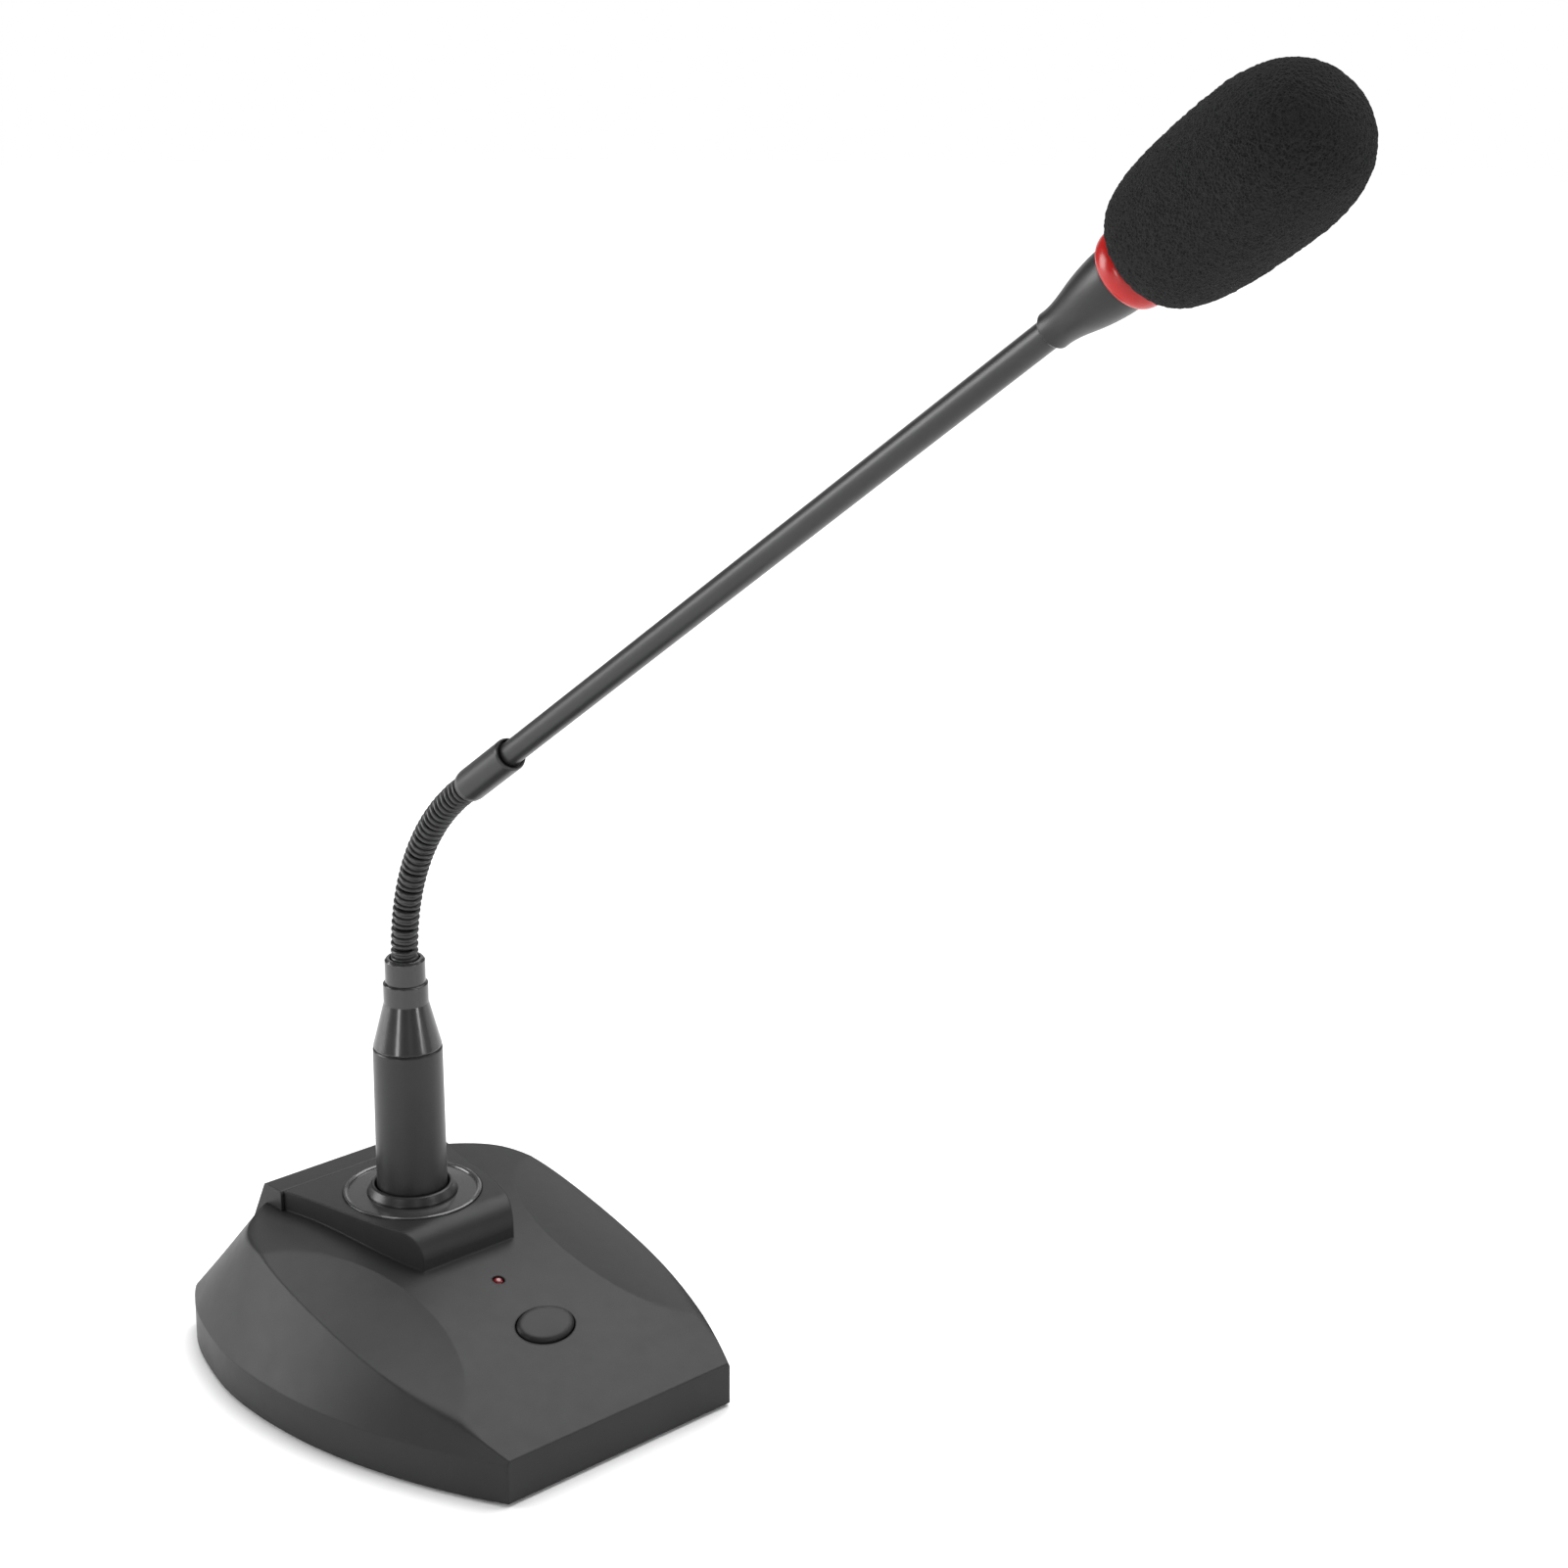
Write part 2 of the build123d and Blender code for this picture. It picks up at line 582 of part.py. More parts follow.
connector_back = connector_base.offset(-1.5)
with BuildPart() as output_leads:
    for side, height, (x, y) in (
        (14, 17, pin_places[2]),
        (17, 13, pin_places[0]),
        (20, 20.5, pin_places[1]),
    ):
        end = connector_back.from_local_coords(Vector(x, y, 0))
        near = connector_back.from_local_coords(Vector(x, y, -3.5))
        add(
            lead(
                (
                    (side, board_edge.Y, board_edge.Z),
                    (side, board_edge.Y + 8, board_edge.Z - 3),
                    (side, 4, height),
                    tuple(near),
                    tuple(end),
                ),
                LEAD_R,
            )
        )
save("output_leads", output_leads.part)

# ---------------------------------------------------------------- plug at the foot of the arm
barrel_profile = (
    (BARREL_BORE_R, BARREL_BOTTOM), (BARREL_R - 0.4, BARREL_BOTTOM),
    (BARREL_R, BARREL_BOTTOM + 0.5), (BARREL_TOP_R, BARREL_TOP - 0.4),
    (BARREL_TOP_R - 0.3, BARREL_TOP), (BARREL_BORE_R - 0.6, BARREL_TOP),
    (BARREL_BORE_R - 0.6, PLUG_INSERT_Z + PLUG_INSERT_T),
    (BARREL_BORE_R, PLUG_INSERT_Z + PLUG_INSERT_T),
)
save("plug_barrel", turned(barrel_profile))

with BuildPart() as plug_insert:
    with BuildSketch(Plane.XY.offset(PLUG_INSERT_Z)):
        Circle(BARREL_BORE_R)
        with Locations(*pin_places):
            Circle(PIN_R, mode=Mode.SUBTRACT)
    extrude(amount=PLUG_INSERT_T)
save("plug_insert", plug_insert.part)

pin_bottom = BARREL_BOTTOM + 1
with BuildPart() as plug_pins:
    with BuildSketch(Plane.XY.offset(pin_bottom)):
        with Locations(*pin_places):
            Circle(PIN_R)
    extrude(amount=PLUG_INSERT_Z + PLUG_INSERT_T + 2 - pin_bottom)
    fillet(plug_pins.faces().sort_by(Axis.Z)[:3].edges(), 0.6)
save("plug_pins", plug_pins.part)

cone_profile = (
    (BARREL_BORE_R - 1.6, BARREL_TOP), (BARREL_TOP_R - 0.3, BARREL_TOP),
    (BARREL_TOP_R - 0.1, BARREL_TOP + 0.5), (CONE_R, CONE_TOP), (CONE_R, NIPPLE_TOP - 0.3),
    (CONE_R - 0.3, NIPPLE_TOP), (4.0, NIPPLE_TOP), (4.0, CONE_TOP - 2), (6.5, BARREL_TOP + 3),
)
save("plug_cone", turned(cone_profile))

ferrule_profile = (
    (2.6, NIPPLE_TOP - 5), (4.0, NIPPLE_TOP - 5), (4.0, NIPPLE_TOP), (FERRULE_R, NIPPLE_TOP),
    (FERRULE_R, FERRULE_TOP - 0.6), (FERRULE_R - 0.5, FERRULE_TOP), (4.0, FERRULE_TOP),
    (4.0, FERRULE_TOP - 1.4), (2.6, FERRULE_TOP - 1.4),
)
save("ferrule", turned(ferrule_profile))

# ---------------------------------------------------------------- gooseneck
step = radians(NECK_TURN) / JOINTS              # angle between neighbouring pivots
pitch = 2 * NECK_R * sin(step / 2)              # straight distance between them
rib_pitch = pitch / 3


def on_neck(angle):
    """Point of the gooseneck's centreline at an angle from upright."""
    return Vector(0, -NECK_R * (1 - cos(angle)), FERRULE_TOP + NECK_R * sin(angle))


def heading(angle):
    """Direction of the gooseneck at an angle from upright."""
    return Vector(0, -sin(angle), cos(angle))


pivots = [on_neck((i + 0.5) * step) for i in range(JOINTS)]
arm_start = on_neck(radians(NECK_TURN))
arm_axis = heading(radians(NECK_TURN))
arm_plane = Plane(origin=arm_start, x_dir=(1, 0, 0), z_dir=arm_axis)


def ribbed(origin, direction, low, high, ribs, cup, ball):
    """Stretch of hose with ribs; cup and ball are the heights of its joint centres or None."""
    with BuildPart() as stretch:
        with BuildSketch(axial_plane(origin, direction)):
            with Locations((CORE_R / 2, (low + high) / 2)):
                Rectangle(CORE_R, high - low)
            for height in ribs:
                with Locations((CORE_R, height)):
                    Circle(RIB_R)
            with BuildLine():
                Polyline((0, low - 5), (0, high + 5), (-6, high + 5), (-6, low - 5), close=True)
            make_face(mode=Mode.SUBTRACT)
        revolve(axis=Axis(origin, direction))
        if ball is not None:
            with BuildSketch(axial_plane(origin, direction)):
                with Locations((0, ball)):
                    Circle(BALL_R)
                with BuildLine():
                    Polyline(
                        (0, ball - 5), (0, ball + 5), (-6, ball + 5), (-6, ball - 5), close=True
                    )
                make_face(mode=Mode.SUBTRACT)
            revolve(axis=Axis(origin, direction))
        if cup is not None:
            with BuildSketch(axial_plane(origin, direction)):
                with Locations((0, cup)):
                    Circle(CUP_R)
                with BuildLine():
                    Polyline((0, cup - 5), (0, cup + 5), (-6, cup + 5), (-6, cup - 5), close=True)
                make_face(mode=Mode.SUBTRACT)
            revolve(axis=Axis(origin, direction), mode=Mode.SUBTRACT)
        with BuildSketch(Plane(origin=origin, x_dir=(1, 0, 0), z_dir=direction).offset(low - 5)):
            Circle(HOSE_BORE_R)
        extrude(amount=high - low + 14, mode=Mode.SUBTRACT)
    return stretch.part


# ferrule with the fixed first ribs
first_direction = heading(step / 4)
first_length = (pivots[0] - on_neck(0)).length
save(
    "hose_root",
    ribbed(
        on_neck(0), first_direction, -1.3, first_length - CORE_GAP,
        [first_length - rib_pitch * (k + 0.5) for k in range(2)], None, first_length,
    ),
)

for i in range(JOINTS - 1):
    segment = ribbed(
        pivots[i], (pivots[i + 1] - pivots[i]).normalized(), CUP_LIP, pitch - CORE_GAP,
        [rib_pitch * (k + 0.5) for k in range(3)], 0, pitch,
    )
    save(f"gooseneck_{i + 1:02d}", segment)

last_pivot_below = -(arm_start - pivots[-1]).length
save(
    "hose_tip",
    ribbed(
        arm_start, arm_axis, last_pivot_below + CUP_LIP, SLEEVE_START + 1.2,
        [last_pivot_below + rib_pitch * (k + 0.5) for k in range(3)], last_pivot_below, None,
    ),
)

# ---------------------------------------------------------------- arm and head
def on_arm(profile):
    """Solid of revolution about the arm from (radius, distance along the arm) corners."""
    return turned(profile, arm_start, arm_axis)


sleeve_profile = (
    (TUBE_R, SLEEVE_START), (SLEEVE_R - 0.9, SLEEVE_START),
    (SLEEVE_R - 0.2, SLEEVE_START + 1.2), (SLEEVE_R, SLEEVE_START + 2.6),
    (SLEEVE_R, SLEEVE_END - 0.6), (SLEEVE_R - 0.25, SLEEVE_END),
    (TUBE_R + 0.6, SLEEVE_END), (TUBE_R + 0.6, SLEEVE_END - 1.2),
    (TUBE_R, SLEEVE_END - 1.2),
)
save("arm_sleeve", on_arm(sleeve_profile))

tube_profile = (
    (TUBE_BORE_R, SLEEVE_START + 6), (TUBE_R, SLEEVE_START + 6),
    (TUBE_R, FLARE_START + 12), (TUBE_BORE_R, FLARE_START + 12),
)
save("arm_tube", on_arm(tube_profile))

with BuildPart() as flared_neck:
    with BuildSketch(axial_plane(arm_start, arm_axis)):
        with BuildLine():
            Polyline(
                (HEAD_R, RING_START - 1.6), (TUBE_R, RING_START - 9), (TUBE_R, FLARE_START),
                (TUBE_R + 0.5, FLARE_START), (TUBE_R + 0.9, FLARE_START + 0.6),
            )
            Spline(
                (TUBE_R + 0.9, FLARE_START + 0.6), (4.5, FLARE_START + 6.5),
                (5.4, FLARE_START + 10.5), (6.1, FLARE_START + 14.5),
                (6.6, RING_START - 0.8),
            )
            Polyline(
                (6.6, RING_START - 0.8), (6.5, RING_START), (5.2, RING_START),
                (5.2, RING_START - 1.6), (HEAD_R, RING_START - 1.6),
            )
        make_face()
    revolve(axis=Axis(arm_start, arm_axis))
save("flared_neck", flared_neck.part)

with BuildPart() as light_ring:
    with BuildSketch(axial_plane(arm_start, arm_axis)):
        with Locations(((RING_R + HEAD_R) / 2, (RING_START + RING_END) / 2)):
            RectangleRounded(RING_R - HEAD_R, RING_END - RING_START, 0.95)
    revolve(axis=Axis(arm_start, arm_axis))
save("light_ring", light_ring.part)

led_board_profile = (
    (1.4, RING_START + 0.4), (HEAD_R - 1.0, RING_START + 0.4),
    (HEAD_R - 1.0, RING_START + 1.4), (1.4, RING_START + 1.4),
)
save("ring_led_board", on_arm(led_board_profile))

housing_profile = (
    (HEAD_R - 0.9, RING_START), (HEAD_R, RING_START), (HEAD_R, HEAD_END),
    (HEAD_R - 0.9, HEAD_END),
)
save("capsule_housing", on_arm(housing_profile))

capsule_profile = (
    (0, HEAD_END - 7), (HEAD_R - 1.1, HEAD_END - 7), (HEAD_R - 1.1, HEAD_END - 0.6),
    (0, HEAD_END - 0.6),
)
save("mic_capsule", on_arm(capsule_profile))

seat_profile = (
    (HEAD_R - 3, HEAD_END - 9), (HEAD_R - 0.9, HEAD_END - 9), (HEAD_R - 0.9, HEAD_END - 7),
    (HEAD_R - 3, HEAD_END - 7),
)
save("capsule_seat", on_arm(seat_profile))

with BuildPart() as capsule_grille:
    add(
        on_arm(
            (
                (HEAD_R - 0.6, HEAD_END), (HEAD_R, HEAD_END), (HEAD_R, GRILLE_END - 1.4),
                (HEAD_R - 1.4, GRILLE_END), (0, GRILLE_END), (0, GRILLE_END - 0.6),
                (HEAD_R - 1.7, GRILLE_END - 0.6), (HEAD_R - 0.6, GRILLE_END - 1.7),
            )
        )
    )
    for row in range(3):
        ring_plane = arm_plane.offset(HEAD_END + 2.2 + 3.0 * row)
        with Locations(ring_plane):
            with PolarLocations(0, 6, start_angle=30 * (row % 2)):
                Cylinder(0.9, 20, rotation=(0, 90, 0), mode=Mode.SUBTRACT)
save("capsule_grille", capsule_grille.part)

with BuildPart() as foam_windscreen:
    with BuildSketch(axial_plane(arm_start, arm_axis)):
        with BuildLine():
            Polyline(
                (0, FOAM_END), (0, FOAM_BORE_END), (FOAM_BORE_R, FOAM_BORE_END),
                (FOAM_BORE_R, FOAM_START), (8.0, FOAM_START),
            )
            Bezier(
                (8.0, FOAM_START), (14.4, FOAM_START), (FOAM_R, FOAM_WIDEST - 16.0),
                (FOAM_R, FOAM_WIDEST),
            )
            Bezier(
                (FOAM_R, FOAM_WIDEST), (FOAM_R, FOAM_WIDEST + 0.66 * FOAM_CROWN),
                (0.64 * FOAM_R, FOAM_END), (0, FOAM_END),
            )
        make_face()
    revolve(axis=Axis(arm_start, arm_axis))
save("foam_windscreen", foam_windscreen.part)

# ---------------------------------------------------------------- lead inside the arm
cable_low = PLUG_INSERT_Z + PLUG_INSERT_T + 2.5
with BuildPart() as plug_lead:
    with BuildSketch(Plane.XY.offset(cable_low)):
        Circle(CABLE_R)
    extrude(amount=FERRULE_TOP - 1.3 - cable_low)
save("plug_lead", plug_lead.part)

with BuildPart() as hose_lead:
    with BuildLine() as hose_path:
        Line((0, 0, FERRULE_TOP - 1.3), on_neck(0))
        TangentArc(on_neck(0), arm_start, tangent=(0, 0, 1))
        Line(arm_start, arm_start + arm_axis * 1.0)
    with BuildSketch(Plane.XY.offset(FERRULE_TOP - 1.3)):
        Circle(CABLE_R)
    sweep(path=hose_path.wires()[0])
save("hose_lead", hose_lead.part)

with BuildPart() as tube_lead:
    with BuildSketch(arm_plane.offset(1.0)):
        Circle(CABLE_R)
    extrude(amount=HEAD_END - 8 - 1.0)
save("tube_lead", tube_lead.part)

total = FERRULE_TOP - cable_low + hose_path.wires()[0].length - 1.3 + HEAD_END - 9
print(f"lead through the arm {total:.0f} mm")
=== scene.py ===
"""Looks of the gooseneck podium microphone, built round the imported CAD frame. Metres."""
import json
from math import cos, pi, radians, sin

import bmesh
import bpy
from mathutils import Matrix, Vector, noise


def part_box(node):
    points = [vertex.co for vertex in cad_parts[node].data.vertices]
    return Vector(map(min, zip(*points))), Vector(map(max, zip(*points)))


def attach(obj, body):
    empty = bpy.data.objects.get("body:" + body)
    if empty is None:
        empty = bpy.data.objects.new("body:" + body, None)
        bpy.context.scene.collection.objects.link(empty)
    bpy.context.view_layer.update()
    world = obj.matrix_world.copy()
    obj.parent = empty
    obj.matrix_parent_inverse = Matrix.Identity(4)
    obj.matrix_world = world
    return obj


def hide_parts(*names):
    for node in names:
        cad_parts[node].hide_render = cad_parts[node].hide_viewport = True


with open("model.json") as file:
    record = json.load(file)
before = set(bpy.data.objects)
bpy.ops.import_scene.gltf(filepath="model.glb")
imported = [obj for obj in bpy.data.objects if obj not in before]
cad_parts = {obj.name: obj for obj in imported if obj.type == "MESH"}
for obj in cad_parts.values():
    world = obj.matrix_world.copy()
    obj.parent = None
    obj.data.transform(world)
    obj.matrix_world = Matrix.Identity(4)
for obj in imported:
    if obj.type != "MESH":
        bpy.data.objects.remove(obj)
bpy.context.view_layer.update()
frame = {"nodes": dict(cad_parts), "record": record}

MM = 0.001
JOINTS = frame["record"]["behaviour"]["joints"]
ARM_AXIS = Vector(next(
    joint["axis"] for joint in JOINTS if joint["name"] == "windscreen_pull"
)).normalized()

# Camera: angles in degrees, place in metres, sensor and lens in millimetres.
CAMERA_AZIMUTH, CAMERA_TILT, CAMERA_ROLL = -43.43, 17.81, 0.47
CAMERA_PLACE = (-0.41038, -0.57348, 0.37853)
SENSOR_WIDTH, LENS = 36.0, 67.457839
VIEW_LIMIT = 20.0                    # metres

# Lights: lengths in metres and powers in watts, but the sun's strength in watts per square metre
# and its spread in degrees. The sun's direction is the way from the object to it.
SUN_DIRECTION, SUN_STRENGTH, SUN_SPREAD = (0.4, 0.1, 1.0), 3.6, 60.0
MIDDLE, PLUG, PEDESTAL_TOP = (0, -0.08, 0.12), (0, 0, 0.09), (0, 0, 0.04)
SOFTBOXES = (  # name, place, target, width and height, power
    ("softbox_front", (-0.55, -1.2, 0.75), MIDDLE, (0.22, 0.9), 1.6),
    ("softbox_right", (1.1, -0.6, 0.5), MIDDLE, (0.5, 0.9), 2.0),
    ("softbox_back", (-0.9, 0.9, 0.45), MIDDLE, (0.7, 0.7), 14.0),
    ("softbox_far", (0.8, 0.85, 0.4), PEDESTAL_TOP, (1.0, 0.35), 1.0),
    ("strip_left", (-1.02, -0.35, 0.3), PLUG, (0.2, 0.3), 2.2),
    ("strip_right", (0.32, -1.03, 0.3), PLUG, (0.2, 0.3), 2.2),
)
WORLD_SEEN, WORLD_CAST = 1.0, 0.18   # strength to the camera, and on the object
FLOOR_R, FLOOR_SEGMENTS = 3.0, 96

# Noise scales of the moulded finishes, per metre, and how far their roughness varies each way.
DRIFT_SCALE, GLOSS_SCALE, GLOSS_SPREAD = 45.0, 220.0, 0.05

# Side scoops of the housing, in millimetres. Their creases are shaded wider where all three
# steps are up, and the steps go from nothing at the first number to the whole at the second.
SCOOP_INNER, SCOOP_OUTER, SCOOP_FOOT = (28, 32), (46, 38), (15, 19)
HOUSING_EDGE, SCOOP_EDGE = 0.7, 4.0

# Light ring, in millimetres. Its station is that of its middle, along the arm.
RING_STATION, RING_HALF, RING_BORE_R = 253.4, 2.5, 6.05
RING_RIM_R, RING_SWELL, RING_FULLNESS = 6.5, 1.65, 0.7
RING_STEPS, RING_SEGMENTS = 32, 128

# Foam windscreen, in millimetres: stations along the arm, radii, and the shape of its ends.
FOAM_START, FOAM_WIDEST, FOAM_END = 256.5, 288.2, 308.3
FOAM_R, MOUTH_R, SHOULDER_R, SHOULDER_LENGTH = 15.35, 8.0, 14.4, 16
NOSE_FULLNESS, NOSE_FLATNESS = 0.66, 0.64
BORE_R, BORE_FLOOR = 6.4, 290.0
BORE_STEPS, TAIL_STEPS, NOSE_STEPS, FOAM_SEGMENTS = 24, 110, 90, 260

# Surface of the foam: noise scales per metre, and heights in millimetres.
COARSE_SCALE, COARSE_HEIGHT = 480.0, 0.1
FINE_SCALE, FINE_HEIGHT = 1300.0, 0.2
CELL_SINK = 0.05
BARE_R = BORE_R + 1.2                # inside this radius the foam is smooth
NOSE_START = 40                      # further than this past the ring, all of it is rough

# Lead inside the gooseneck, in metres.
LEAD_R = 1.0 * MM
LEAD_WAIST_R = 0.65 * MM             # where it passes through a pivot's ball
LEAD_GAP = 0.45 * MM                 # between a length of it and the pivot beside it
WAIST_END, WAIST_SHOULDER = 2.2 * MM, 2.7 * MM
LEAD_OVERHANG = 1.0 * MM             # past the last link
LEAD_SEGMENTS = 24


def add_object(name, data):
    """New object in the scene."""
    made = bpy.data.objects.new(name, data)
    bpy.context.scene.collection.objects.link(made)
    return made


# ---------------------------------------------------------------- camera, floor and lights
def make_camera():
    """Camera at the photograph's viewing angle."""
    azimuth, tilt, roll = radians(CAMERA_AZIMUTH), radians(CAMERA_TILT), radians(CAMERA_ROLL)
    back = Vector((sin(azimuth) * cos(tilt), -cos(azimuth) * cos(tilt), sin(tilt)))
    right = Vector((cos(azimuth), sin(azimuth), 0))
    up = back.cross(right)
    rolled_right = right * cos(roll) + up * sin(roll)
    rolled_up = up * cos(roll) - right * sin(roll)
    data = bpy.data.cameras.new("camera")
    data.sensor_width = SENSOR_WIDTH
    data.lens = LENS
    data.clip_end = VIEW_LIMIT
    camera = add_object("camera", data)
    turn = Matrix((rolled_right, rolled_up, back)).transposed()
    camera.matrix_world = Matrix.Translation(CAMERA_PLACE) @ turn.to_4x4()
    bpy.context.scene.camera = camera


def make_floor():
    """Pale round floor under the object."""
    mesh = bpy.data.meshes.new("floor")
    shape = bmesh.new()
    bmesh.ops.create_circle(shape, cap_ends=True, segments=FLOOR_SEGMENTS, radius=FLOOR_R)
    shape.to_mesh(mesh)
    shape.free()
    floor = add_object("floor", mesh)
    mesh.materials.append(floor_material())


def floor_material():
    """Matt white paper."""
    nodes = Nodes("floor_paper")
    shade = nodes.noise(3.0, 2.0)
    nodes.colour(shade, (0.91, 0.91, 0.91), (0.93, 0.93, 0.93))
    nodes.set("Roughness", nodes.spread(shade, 0.88, 0.95))
    nodes.set("Specular IOR Level", 0.1)
    return nodes.material


def make_world():
    """Even white surroundings, dimmer where they light the object than where they are seen."""
    world = bpy.data.worlds.new("studio")
    world.use_nodes = True
    tree = world.node_tree
    tree.nodes.clear()
    output = tree.nodes.new("ShaderNodeOutputWorld")
    mix = tree.nodes.new("ShaderNodeMixShader")
    path = tree.nodes.new("ShaderNodeLightPath")
    tree.links.new(path.outputs["Is Camera Ray"], mix.inputs["Fac"])
    for place, strength in ((1, WORLD_CAST), (2, WORLD_SEEN)):
        white = tree.nodes.new("ShaderNodeBackground")
        white.inputs["Color"].default_value = (1, 1, 1, 1)
        white.inputs["Strength"].default_value = strength
        tree.links.new(white.outputs[0], mix.inputs[place])
    tree.links.new(mix.outputs[0], output.inputs[0])
    bpy.context.scene.world = world
    bpy.context.scene.view_settings.view_transform = "Standard"


def make_overhead_light():
    """Broad overhead light that whitens the whole floor."""
    data = bpy.data.lights.new("overhead", "SUN")
    data.energy = SUN_STRENGTH
    data.angle = radians(SUN_SPREAD)
    overhead = add_object("overhead", data)
    aim = Vector(SUN_DIRECTION).to_track_quat("Z", "Y")
    overhead.matrix_world = aim.to_matrix().to_4x4()


def make_softbox(name, place, target, size, power):
    """Rectangular light for the highlights, which faces its target."""
    data = bpy.data.lights.new(name, "AREA")
    data.shape = "RECTANGLE"
    data.size, data.size_y = size
    data.energy = power
    light = add_object(name, data)
    aim = (Vector(target) - Vector(place)).to_track_quat("-Z", "Y")
    light.matrix_world = Matrix.Translation(place) @ aim.to_matrix().to_4x4()


# ---------------------------------------------------------------- materials
class Nodes:
    """Small helper for a Principled material with procedural inputs in object space."""

    def __init__(self, name):
        self.material = bpy.data.materials.new(name)
        self.material.use_nodes = True
        self.tree = self.material.node_tree
        self.shader = self.tree.nodes["Principled BSDF"]
        self.place = self.tree.nodes.new("ShaderNodeTexCoord").outputs["Object"]

    def feed(self, socket, value):
        """Link a socket to another one, or set its own value."""
        if hasattr(value, "is_linked"):
            self.tree.links.new(value, socket)
        else:
            socket.default_value = value

    def set(self, name, value):
        """Feed the shader's socket of that name."""
        self.feed(self.shader.inputs[name], value)

    def noise(self, scale, detail=3.0, roughness=0.6):
        """Soft noise, with its scale per metre."""
        node = self.tree.nodes.new("ShaderNodeTexNoise")
        node.inputs["Scale"].default_value = scale
        node.inputs["Detail"].default_value = detail
        node.inputs["Roughness"].default_value = roughness
        self.feed(node.inputs["Vector"], self.place)
        return node.outputs["Fac"]

    def cells(self, scale):
        """Distance from the middle of the nearest cell, with the scale per metre."""
        node = self.tree.nodes.new("ShaderNodeTexVoronoi")
        node.inputs["Scale"].default_value = scale
        self.feed(node.inputs["Vector"], self.place)
        return node.outputs["Distance"]

    def colour(self, source, dark, light, start=0.3, end=0.7):
        """Base colour that goes from dark to light as the source goes from start to end."""
        node = self.tree.nodes.new("ShaderNodeValToRGB")
        self.feed(node.inputs["Fac"], source)
        stops = ((start, dark), (end, light))
        for element, (place, shade) in zip(node.color_ramp.elements, stops):
            element.position = place
            element.color = (*shade, 1.0)
        self.set("Base Color", node.outputs["Color"])

    def spread(self, source, low, high):
        """Values from low to high as the source goes from 0 to 1."""
        node = self.tree.nodes.new("ShaderNodeMapRange")
        self.feed(node.inputs["Value"], source)
        node.inputs["To Min"].default_value = low
        node.inputs["To Max"].default_value = high
        return node.outputs["Result"]

    def step(self, source, start_mm, end_mm):
        """Smooth change from 0 at the start to 1 at the end, which may be the lower of the two."""
        node = self.tree.nodes.new("ShaderNodeMapRange")
        node.interpolation_type = "SMOOTHSTEP"
        self.feed(node.inputs["Value"], source)
        falling = start_mm > end_mm
        node.inputs["From Min"].default_value = min(start_mm, end_mm) * MM
        node.inputs["From Max"].default_value = max(start_mm, end_mm) * MM
        node.inputs["To Min"].default_value = 1.0 if falling else 0.0
        node.inputs["To Max"].default_value = 0.0 if falling else 1.0
        return node.outputs["Result"]

    def math(self, operation, *sources):
        """Result of an arithmetic operation on one or two sockets."""
        node = self.tree.nodes.new("ShaderNodeMath")
        node.operation = operation
        for source, socket in zip(sources, node.inputs):
            self.feed(socket, source)
        return node.outputs[0]

    def rounded_edges(self, radius):
        """Shading normal of edges with that radius, a number or a socket, in metres."""
        node = self.tree.nodes.new("ShaderNodeBevel")
        node.samples = 6
        self.feed(node.inputs["Radius"], radius)
        return node.outputs["Normal"]

    def bump(self, source, distance, strength=1.0, after=None):
        """Surface relief, on top of another shading normal if one is given."""
        node = self.tree.nodes.new("ShaderNodeBump")
        node.inputs["Strength"].default_value = strength
        node.inputs["Distance"].default_value = distance
        self.feed(node.inputs["Height"], source)
        if after is not None:
            self.feed(node.inputs["Normal"], after)
        self.set("Normal", node.outputs["Normal"])

    def moulded(self, dark, light, rough, grain_mm, depth_mm, specular=0.5, rounded=None):
        """Slight colour drift, uneven gloss and a fine grain, as on plastic or paint."""
        self.colour(self.noise(DRIFT_SCALE, 4.0), dark, light)
        gloss = self.noise(GLOSS_SCALE)
        self.set("Roughness", self.spread(gloss, rough - GLOSS_SPREAD, rough + GLOSS_SPREAD))
        self.set("Specular IOR Level", specular)
        self.bump(self.noise(1.0 / (grain_mm * MM), 2.0, 0.5), depth_mm * MM, after=rounded)


def grey(value):
    """Very slightly bluish grey."""
    return (value, value, value * 1.02)


def grained(name, dark, light, rough, grain_mm, depth_mm, metal=0.0, coat=0.0, specular=0.5,
            edge_mm=0.0):
    """Moulded plastic, paint or metal, with its edges shaded at that radius."""
    nodes = Nodes(name)
    nodes.set("Metallic", metal)
    nodes.set("Coat Weight", coat)
    rounded = nodes.rounded_edges(edge_mm * MM) if edge_mm else None
    nodes.moulded(dark, light, rough, grain_mm, depth_mm, specular, rounded)
    return nodes.material


def housing_material():
    """Matt housing plastic; the finger scoops run out softly beside the middle of the panel."""
    nodes = Nodes("housing_abs")
    axes = nodes.tree.nodes.new("ShaderNodeSeparateXYZ")
    nodes.feed(axes.inputs[0], nodes.place)
    aside = nodes.math("ABSOLUTE", axes.outputs["X"])
    beside = nodes.math(
        "MULTIPLY", nodes.step(aside, *SCOOP_INNER), nodes.step(aside, *SCOOP_OUTER)
    )
    scoops = nodes.math("MULTIPLY", beside, nodes.step(axes.outputs["Z"], *SCOOP_FOOT))
    rounded = nodes.rounded_edges(nodes.spread(scoops, HOUSING_EDGE * MM, SCOOP_EDGE * MM))
    nodes.moulded(grey(0.015), grey(0.018), 0.45, 0.35, 0.014, specular=0.22, rounded=rounded)
    return nodes.material


